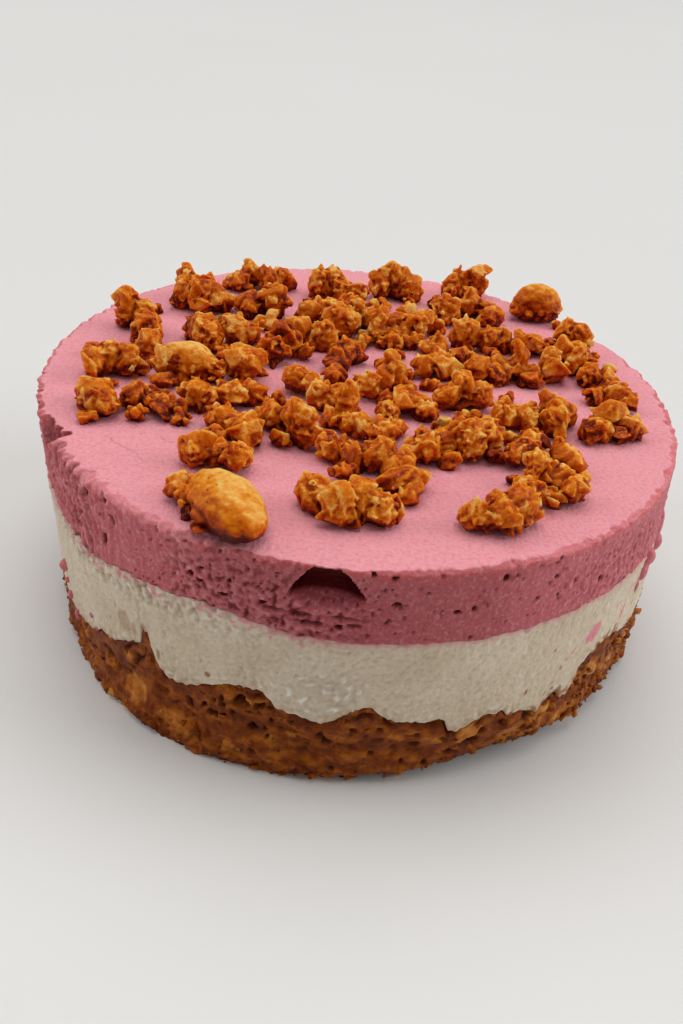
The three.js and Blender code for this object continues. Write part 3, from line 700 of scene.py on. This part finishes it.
def nut_bit(number, x, y, size):
    """A single broken piece of nut, or a few stuck together, between the clusters."""
    rng = random.Random(900 + number)
    mean_tone = rng.uniform(0.42, 0.66)
    middle = Vector((x, y, CAKE_TOP + 0.2 * size))
    pieces = bmesh.new()
    shard(pieces, rng, middle, 0.42 * size, 0.75)
    tones = [(middle, 0.34 * size, mean_tone)]
    for _ in range(round(1.3 * size)):
        own, turn = size * rng.uniform(0.17, 0.32), rng.uniform(0, math.tau)
        out = (size / 2 - own) * rng.uniform(0.6, 1.15)
        rise = max(0.6 * own, rng.uniform(0.1, 0.55) * size * (1 - out / size))
        centre = Vector((x + out * math.cos(turn), y + out * math.sin(turn), CAKE_TOP + rise))
        shard(pieces, rng, centre, own * 1.25, 0.8)
        tones.append((centre, own, mean_tone + rng.gauss(0.05, 0.16)))
    skin = melted(pieces, "bit", NUT_VOXEL)
    coat(skin, tones, None, mean_tone)
    return skin


def hidden_bits():
    """Bits of nut behind the clusters, where the photograph's view can't see them: [x, y, size]."""
    rng = random.Random(41)
    tree = solid_tree(*[f"peanut_cluster_{number:02d}" for number in range(1, CLUSTERS + 1)])
    found = []
    for _ in range(HIDDEN_TRIES):
        x, y = (rng.uniform(1 - NUTS_REACH, NUTS_REACH - 1) for _ in range(2))
        size = rng.uniform(2.4, 4.8)
        middle, half = Vector((x, y, CAKE_TOP + 0.4 * size)), size / 2
        if math.hypot(x, y) > NUTS_REACH or tree.find_nearest(middle)[3] < 0.7 * half:
            continue
        if any(math.dist((x, y), other[:2]) < 0.5 * (size + other[2]) + 0.3 for other in found):
            continue
        corners = [middle + Vector(way) * half for way in ((-1, 0, 0), (1, 0, 0), (0, -1, 0), (0, 0, 0.9))]
        if all(tree.ray_cast(corner, (EYE - corner).normalized())[0] for corner in corners):
            found.append((x, y, size))
    return found


def gathered(skins):
    """One bmesh of several, which are used up."""
    heap = bmesh.new()
    for skin in skins:
        mesh = as_mesh(skin, "skin")
        heap.from_mesh(mesh)
        bpy.data.meshes.remove(mesh)
    return heap


def soften(bm, passes, verts=None):
    """Smooths some of a mesh's points, or all of them."""
    every_way = {f"use_axis_{axis}": True for axis in "xyz"}
    for _ in range(passes):
        bmesh.ops.smooth_vert(bm, verts=bm.verts if verts is None else verts, factor=0.5, **every_way)


def roughen(verts, *waves):
    """Moves points in and out by noise, in waves of [depth, how many a millimetre]."""
    for vertex in verts:
        vertex.co += vertex.normal * sum(depth * noise.noise(vertex.co * pace) for depth, pace in waves)


def coat(skin, tones, whole, mean_tone):
    """Softens a cluster's skin under its caramel, flattens its foot, marks nuts, and paints shade, highlight
    and pooled caramel.
    """
    for vertex in skin.verts:
        vertex.co.z = max(vertex.co.z, FOOT)
    soften(skin, 1)
    if whole:
        bared = CAKE_TOP + whole[-1]
        kernel = [v for v in skin.verts if in_kernel(v.co, *whole) < ON_KERNEL and v.co.z > bared]
        soften(skin, 12, kernel)
        skin.normal_update()
        roughen(kernel, (0.3, 0.25), (0.12, 0.8))
    skin.normal_update()
    roughen(skin.verts, (0.08, 1.3), (0.05, 2.6))
    skin.normal_update()
    sharp = [(v.co.copy(), v.normal.copy()) for v in skin.verts]
    soften(skin, 14)
    crevice, tone, bare = (skin.verts.layers.float.new(key) for key in ("crevice", "tone", "bare"))
    tree = KDTree(len(tones))
    for i, (centre, _, _) in enumerate(tones):
        tree.insert(centre, i)
    tree.balance()
    for vertex, (place, normal) in zip(skin.verts, sharp):
        # Hollows are painted darker as shade and ridges paler as highlight; downward faces get painted shade,
        # and the lowest 2.4 mm is darker where the caramel pools.
        hollow = (vertex.co - place).dot(normal) / 0.35 + 0.12
        under = 0.4 * max(0, -normal.z) + 0.6 * max(0, 1 - (place.z - CAKE_TOP) / 2.4)
        vertex[crevice] = min(1, max(-0.3, hollow) + under)
        vertex.co = place
        near = tree.find_n(place, 3)
        best = min(near, key=lambda hit: hit[2] / tones[hit[1]][1], default=None)
        vertex[tone] = tones[best[1]][2] if best else mean_tone
        clear = not best or best[2] > 0.9 * tones[best[1]][1]
        if clear and whole and in_kernel(place, *whole) < ON_KERNEL:
            # Whole kernels are painted palest facing LIT_FROM, as light falling from above, behind and to the
            # right.
            vertex[tone] = whole[-2] + 0.5 * (normal.dot(LIT_FROM) - 0.85)
            vertex[bare] = 1


class Value:
    """A shader socket that Python's operators work on. Each adds a Math node."""

    def __init__(self, finish, socket):
        self.finish, self.socket = finish, socket

    def math(self, operation, *others):
        values = dict(enumerate((self, *others)))
        return self.finish.add("ShaderNodeMath", {"operation": operation}, values)

    def __add__(self, other):
        return self.math("ADD", other)

    def __sub__(self, other):
        return self.math("SUBTRACT", other)

    def __rsub__(self, other):
        return self.math("MULTIPLY_ADD", -1, other)

    def __mul__(self, other):
        return self.math("MULTIPLY", other)

    def ease(self, start, end):
        """0 up to start, 1 from end, and smooth between them."""
        settings = {"interpolation_type": "SMOOTHSTEP"}
        return self.finish.add("ShaderNodeMapRange", settings, {0: self, 1: start, 2: end})


class Finish:
    """A node material being made. Its points are the object's own coordinates."""

    def __init__(self, name):
        self.material = bpy.data.materials.new(name)
        self.material.use_nodes = True
        self.tree = self.material.node_tree
        self.tree.nodes.clear()
        self.place = self.add("ShaderNodeTexCoord", {}, {}, "Object")

    def add(self, kind, settings, sockets, output=0):
        """A node of a kind: its settings are set first, then the values or links of its sockets."""
        node = self.tree.nodes.new(kind)
        for key, value in settings.items():
            if key == "stops":
                ramp = node.color_ramp.elements
                while len(ramp) < len(value):
                    ramp.new(0.5)
                for element, (at, colour) in zip(ramp, value):
                    element.position, element.color = at, (*colour, 1)
            else:
                setattr(node, key, value)
        for key, value in sockets.items():
            if isinstance(value, Value):
                self.tree.links.new(value.socket, node.inputs[key])
            else:
                node.inputs[key].default_value = value
        return Value(self, node.outputs[output])

    def painted(self, name):
        return self.add("ShaderNodeAttribute", {"attribute_name": name}, {}, "Fac")

    def noise(self, size, detail, stretch=(1, 1, 1)):
        """Noise from 0 to 1 with features of a size in millimetres."""
        turned = self.add("ShaderNodeMapping", {}, {"Vector": self.place, "Scale": stretch})
        sockets = {"Vector": turned, "Scale": 1 / (size * MM), "Detail": detail}
        return self.add("ShaderNodeTexNoise", {}, sockets, "Fac")

    def dots(self, spacing, size):
        """1 in small round dots about spacing apart, in millimetres, each at its own size or less."""
        sockets = {"Vector": self.place, "Scale": 1 / (spacing * MM), "Randomness": 1}
        near = self.add("ShaderNodeTexVoronoi", {}, sockets, "Distance")
        return near.ease(size / spacing, 0.6 * size / spacing)

    def mix(self, colour, *coats):
        """A colour under coats of others, each given as a share and a colour."""
        for share, over in coats:
            under = (*colour, 1) if isinstance(colour, tuple) else colour
            colour = self.add("ShaderNodeMix", {"data_type": "RGBA"}, {0: share, 6: under, 7: (*over, 1)}, 2)
        return colour

    def bump(self, height, distance, strength):
        sockets = {"Height": height, "Distance": distance * MM, "Strength": strength}
        return self.add("ShaderNodeBump", {}, sockets)

    def food(self, colour, roughness, normal, glow, shine, **more):
        """The material of something to eat. Glow is how light goes into it: [weight, colour, metres]."""
        weight, tint, depth = glow
        return self.surface({
            "Base Color": colour, "Roughness": roughness, "Normal": normal, "Subsurface Weight": weight,
            "Subsurface Radius": tint, "Subsurface Scale": depth, "Specular IOR Level": shine, **more,
        })

    def surface(self, sockets):
        shader = self.add("ShaderNodeBsdfPrincipled", {}, sockets)
        output = self.tree.nodes.new("ShaderNodeOutputMaterial")
        self.tree.links.new(shader.socket, output.inputs["Surface"])
        return self.material


def strawberry_finish():
    finish = Finish("strawberry_cream")
    wall, pit = finish.painted("wall"), finish.painted("pit")
    cloud, fine = finish.noise(6, 3), finish.noise(0.55, 3)
    streak = finish.noise(0.8, 3, (1, 1, 0.45)).ease(0.5, 0.75)
    askew = {"Vector": finish.place, "Rotation": (0, 0, math.radians(42))}
    turned = finish.add("ShaderNodeMapping", {}, askew)
    across = finish.add("ShaderNodeSeparateXYZ", {}, {0: turned}, "Y") * (1 / MM) + finish.noise(5, 4) * 7
    crack = across.math("PINGPONG", 3.2).ease(0.09, 0.02) * finish.painted("cracked")
    crack = crack * finish.noise(3.5, 1).ease(0.5, 0.56)
    colour = finish.mix(
        (0.925, 0.36, 0.41),
        (wall, (0.55, 0.1, 0.118)),
        # A painted red glow along the rim, as of light shining through its edge.
        (finish.painted("rim") * (wall * 0.55 + 0.25), (0.74, 0.105, 0.085)),
        ((cloud * 0.45 + streak * 0.4) * wall, (0.68, 0.2, 0.22)),
        (fine.ease(0.45, 0.75) * 0.4, (0.9, 0.47, 0.51)),
        (fine.ease(0.55, 0.25) * 0.35, (0.66, 0.17, 0.2)),
        # Tiny pores painted dark as the shade in them.
        (finish.dots(2.1, 0.13) * 0.7, (0.3, 0.03, 0.04)),
        # Cracks are bumped in and painted darker, as the shade in them.
        (crack * 0.35, (0.35, 0.06, 0.08)),
        # Painted shade in pores, hollows and creases; above 1 it goes near black.
        (pit, (0.15, 0.008, 0.01)),
        (pit - 1, (0.13, 0.001, 0.001)),
    )
    soft = finish.bump(finish.noise(0.5, 5) - crack * 0.5, 0.28, 1.0)
    return finish.food(colour, fine * 0.25 + 0.42, soft, (0.35, (1.0, 0.32, 0.26), 0.0016), 0.2)


def cream_finish():
    finish = Finish("plain_cream")
    fine = finish.noise(0.7, 3)
    colour = finish.mix(
        (0.68, 0.555, 0.4),
        (finish.noise(7, 3).ease(0.3, 0.75), (0.765, 0.645, 0.49)),
        (fine.ease(0.52, 0.75) * 0.4, (0.9, 0.82, 0.7)),
        (fine.ease(0.48, 0.3) * 0.25, (0.58, 0.44, 0.3)),
        (finish.dots(1.3, 0.13) * 0.6, (0.46, 0.3, 0.17)),
        # Pale curds, and painted highlight on raised beads and knots.
        (finish.painted("bead") * 0.85, (0.95, 0.91, 0.84)),
        (finish.painted("crumb"), (0.34, 0.15, 0.05)),
        (finish.painted("berry"), (0.8, 0.26, 0.33)),
        # Painted shade in pits and hollows.
        (finish.painted("pit") * 0.8, (0.36, 0.27, 0.17)),
    )
    soft = finish.bump(finish.noise(0.45, 5), 0.17, 0.8)
    return finish.food(colour, fine * 0.2 + 0.42, soft, (0.3, (1.0, 0.75, 0.5), 0.0012), 0.2)


def base_finish():
    finish = Finish("date_nut_base")
    broken, nutty = finish.noise(1.3, 4), finish.painted("nutty")
    pressed = finish.noise(4.5, 3, (1, 1, 2.6))
    shade = finish.painted("tone") * 0.5 + broken * 0.6 + pressed * 0.8 + nutty * 0.25 - 0.5
    stops = [
        (0.1, (0.07, 0.008, 0.0005)), (0.38, (0.23, 0.043, 0.002)), (0.62, (0.46, 0.128, 0.008)),
        (0.9, (0.7, 0.33, 0.07)),
    ]
    colour = finish.mix(
        finish.add("ShaderNodeValToRGB", {"stops": stops}, {"Fac": shade}),
        (nutty * finish.noise(0.9, 2).ease(0.45, 0.6) * 0.6, (0.6, 0.2, 0.04)),
        (finish.dots(1.3, 0.2) * 0.6, (0.06, 0.012, 0.003)),
        # Painted shade in hollows, pits and under the foot.
        (finish.painted("pit"), (0.035, 0.005, 0.001)),
    )
    rough = finish.bump(finish.noise(0.6, 5), 0.18, 0.8)
    return finish.food(colour, broken * 0.45 + 0.22, rough, (0.12, (1.0, 0.4, 0.15), 0.001), 0.12)


def nut_finish():
    finish = Finish("candied_peanut")
    tone, crevice, bare = (finish.painted(name) for name in ("tone", "crevice", "bare"))
    sugar = finish.noise(0.36, 3) * (1 - bare * 0.6) + bare * 0.3
    # Crevices and downward faces get painted shade, ridges a painted highlight, and the lowest part the
    # darker pooled caramel.
    shade = tone + finish.noise(1.9, 3) * 0.45 + sugar * 0.4 - 0.425 - crevice * 0.75
    stops = [
        (0.0, (0.07, 0.003, 0.0002)), (0.22, (0.27, 0.022, 0.0002)), (0.48, (0.58, 0.108, 0.0004)),
        (0.74, (0.76, 0.24, 0.005)), (1.0, (0.88, 0.5, 0.12)),
    ]
    colour = finish.mix(
        finish.add("ShaderNodeValToRGB", {"stops": stops}, {"Fac": shade}),
        (sugar.ease(0.62, 0.74) * 0.35, (0.92, 0.6, 0.2)),
        (finish.dots(1.5, 0.17) * 0.8, (0.07, 0.01, 0.001)),
    )
    glaze = {"Coat Weight": 0.02, "Coat Roughness": 0.12}
    rough, uneven = finish.noise(1.1, 2) * 0.35 + 0.25, finish.bump(sugar, 0.2, 0.8)
    return finish.food(colour, rough, uneven, (0.6, (1.0, 0.36, 0.07), 0.0026), 0.1, **glaze)


def floor_finish():
    finish = Finish("pale_floor")
    colour = finish.mix((0.78, 0.775, 0.76), (finish.noise(240, 2), (0.82, 0.815, 0.8)))
    return finish.surface({"Base Color": colour, "Roughness": 0.5, "Specular IOR Level": 0.3})


def drips(finish):
    """Lumps of strawberry cream that hang on the wall."""
    bm = bmesh.new()
    rng = random.Random(31)
    for angle, height, half_width, half_height, half_depth in DRIPS:
        turn = math.radians(angle)
        made = bmesh.ops.create_icosphere(bm, subdivisions=3, radius=1)["verts"]
        out = RADIUS - 0.1
        place = Matrix.Translation((out * math.cos(turn) + lean(height), out * math.sin(turn), height))
        shape = Matrix.Diagonal((half_depth, half_width, half_height, 1))
        tip = Matrix.Rotation(rng.uniform(-0.25, 0.25), 4, "X")
        bmesh.ops.transform(bm, matrix=place @ Matrix.Rotation(turn, 4, "Z") @ tip @ shape, verts=made)
    skin = melted(bm, "strawberry_drips", DRIP_VOXEL)
    roughen(skin.verts, (0.16, 0.9), (0.05, 2.4))
    soften(skin, 1)
    for key, value in {"wall": 0.7, "pit": 0, "cracked": 0, "rim": 0}.items():
        layer = skin.verts.layers.float.new(key)
        for vertex in skin.verts:
            vertex[layer] = value
    return finished(skin, "strawberry_drips", finish)


def crumbs(finish):
    """Crumbs of the base along its foot and on its wall."""
    rng = random.Random(32)
    bm = bmesh.new()
    tone = bm.verts.layers.float.new("tone")
    tree = solid_tree("nut_base")
    places = list(FOOT_CRUMBS)
    for i in range(CRUMBS):
        if i % 3 == 0:
            arc, band, fineness = CRUMBS_AT_RIGHT, (0.3, 13.5), 2
        else:
            arc, band, fineness = (-180, 180), (0.3, 4) if i % 4 else (3, 11), 3
        places.append((rng.uniform(*arc), rng.uniform(*band), 0.3 + rng.random() ** fineness))
    for angle, height, size in places:
        hit, out = from_outside(tree, angle, height)
        if not hit or hit.z < size * 0.5:
            continue
        if CRUMBS_AT_RIGHT[0] < angle < CRUMBS_AT_RIGHT[1]:
            sunk, tones = 0.3, (0.4, 0.5, 0.6, 0.75, 1)
        else:
            sunk, tones = 0.45, (0.3, 0.4, 0.5, 0.62, 0.95)
        made = shard(bm, rng, hit - out * sunk * size, size, 0.7, 9)
        shade = rng.choice(tones)
        for vertex in made:
            vertex[tone] = shade
            vertex.co.z = max(vertex.co.z, 0)
    for key in ("pit", "nutty"):
        bm.verts.layers.float.new(key)
    bmesh.ops.recalc_face_normals(bm, faces=bm.faces)
    return finished(bm, "base_crumbs", finish)


def camera():
    """The photograph's view: a portrait frame, looking down on the cake from the front."""
    data = bpy.data.cameras.new("camera")
    data.lens, data.sensor_width = 33.75, 36
    eye = placed("camera", data)
    turn = Matrix((VIEW_RIGHT, VIEW_UP, VIEW_RIGHT.cross(VIEW_UP))).transposed().to_4x4()
    eye.matrix_world = Matrix.Translation(EYE * MM) @ turn
    bpy.context.scene.camera = eye


def area_light(name, place, size, power):
    data = bpy.data.lights.new(name, "AREA")
    data.shape, data.size, data.energy = "DISK", size, power
    lamp = placed(name, data)
    lamp.location = place
    lamp.rotation_mode = "QUATERNION"
    lamp.rotation_quaternion = (-Vector(place)).to_track_quat("-Z", "Y")


def studio():
    """A plain pale floor, an even room light and a large soft window behind and above."""
    bm = bmesh.new()
    bmesh.ops.create_grid(bm, x_segments=1, y_segments=1, size=FLOOR_HALF)
    bmesh.ops.transform(bm, matrix=Matrix.Scale(MM, 4), verts=bm.verts)
    floor = placed("floor", as_mesh(bm, "floor"))
    floor.data.materials.append(floor_finish())
    world = bpy.data.worlds.new("room")
    world.use_nodes = True
    sky = world.node_tree.nodes["Background"].inputs
    sky["Color"].default_value, sky["Strength"].default_value = (1.0, 0.99, 0.97, 1), 0.235
    bpy.context.scene.world = world
    bpy.context.scene.view_settings.view_transform = "Standard"
    area_light("window", (2.85, 0.3, 1.5), 2.4, 45)
    area_light("far_window", (-2.85, 0.3, 1.5), 2.4, 29)
    area_light("ceiling", (-0.1, 0.9, 3.15), 3.6, 63)


def dress():
    strawberry, cream, base, nut = strawberry_finish(), cream_finish(), base_finish(), nut_finish()
    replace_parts(strawberry_layer(strawberry), "strawberry_layer")
    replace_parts(cream_layer(cream), "cream_layer")
    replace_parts(base_layer(base), "nut_base")
    drips(strawberry)
    crumbs(base)
    for first in range(1, CLUSTERS + 1, CLUSTERS_A_PIECE):
        numbers = range(first, min(first + CLUSTERS_A_PIECE, CLUSTERS + 1))
        heap = gathered([nut_cluster(number) for number in numbers])
        piece = finished(heap, f"candied_peanuts_{first:02d}_on", nut)
        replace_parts(piece, *[f"peanut_cluster_{number:02d}" for number in numbers])
    bits = gathered([nut_bit(number, *place) for number, place in enumerate(BITS + hidden_bits())])
    finished(bits, "loose_peanut_bits", nut)


dress()
camera()
studio()
